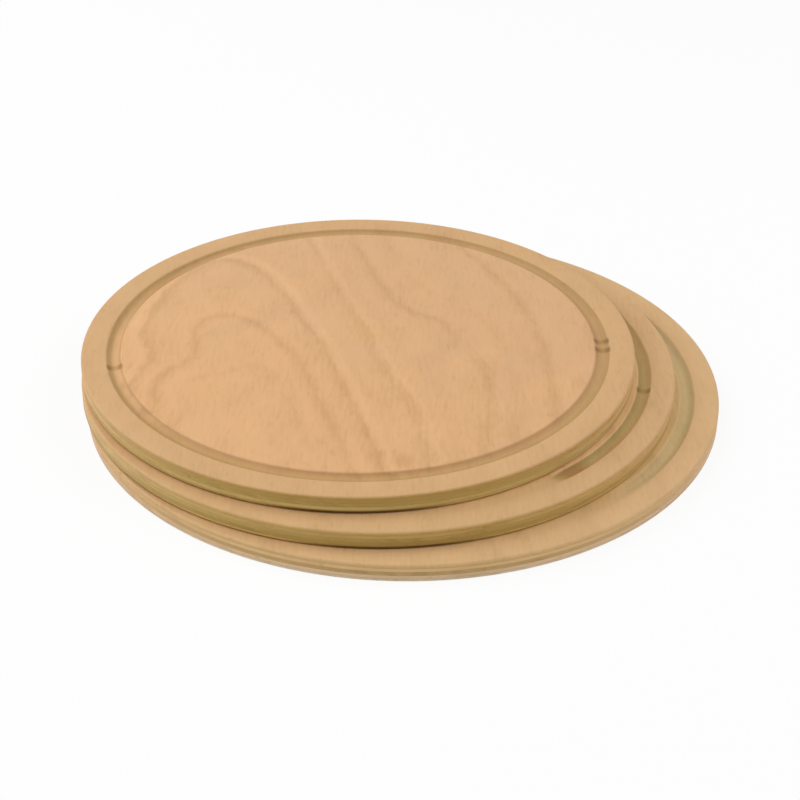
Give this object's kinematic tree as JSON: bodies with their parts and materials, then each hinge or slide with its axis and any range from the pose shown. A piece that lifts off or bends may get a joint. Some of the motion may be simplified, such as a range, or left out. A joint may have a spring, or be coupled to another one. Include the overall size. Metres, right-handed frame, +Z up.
{
  "type": "stacked pizza board set",
  "caption": "Stack of loose round plywood pizza boards in graded sizes, each with a routed ring groove and softly rounded edges, for serving and cutting pizza.",
  "frame": {"origin": "centre of the large board's underside, on the surface that the stack stands on", "axes": "+Z up through the stack, +X to the right and -Y towards the viewer in the picture"},
  "size_m": [0.3228, 0.32, 0.0274],
  "materials": {
    "face_veneer": "sanded and oiled beech veneer",
    "crossband_veneer": "sanded beech veneer, grain across the face",
    "core_veneer": "sanded beech veneer, end grain at the front edge",
    "glue_line": "cured resin glue line"
  },
  "bodies": {
    "large_board": {"large_back_veneer": "face_veneer", "large_back_glue": "glue_line", "large_lower_crossband": "crossband_veneer", "large_lower_core_glue": "glue_line", "large_core_veneer": "core_veneer", "large_upper_core_glue": "glue_line", "large_upper_crossband": "crossband_veneer", "large_face_glue": "glue_line", "large_face_veneer": "face_veneer"},
    "medium_board": {"medium_back_veneer": "face_veneer", "medium_back_glue": "glue_line", "medium_lower_crossband": "crossband_veneer", "medium_lower_core_glue": "glue_line", "medium_core_veneer": "core_veneer", "medium_upper_core_glue": "glue_line", "medium_upper_crossband": "crossband_veneer", "medium_face_glue": "glue_line", "medium_face_veneer": "face_veneer"},
    "small_board": {"small_back_veneer": "face_veneer", "small_back_glue": "glue_line", "small_lower_crossband": "crossband_veneer", "small_lower_core_glue": "glue_line", "small_core_veneer": "core_veneer", "small_upper_core_glue": "glue_line", "small_upper_crossband": "crossband_veneer", "small_face_glue": "glue_line", "small_face_veneer": "face_veneer"}
  },
  "joints": [
    {"name": "medium_board_lift", "type": "slide", "parent": "large_board", "child": "medium_board", "axis": [0, 0, 1], "range_m": [0, 0.12]},
    {"name": "small_board_lift", "type": "slide", "parent": "medium_board", "child": "small_board", "axis": [0, 0, 1], "range_m": [0, 0.12]}
  ]
}
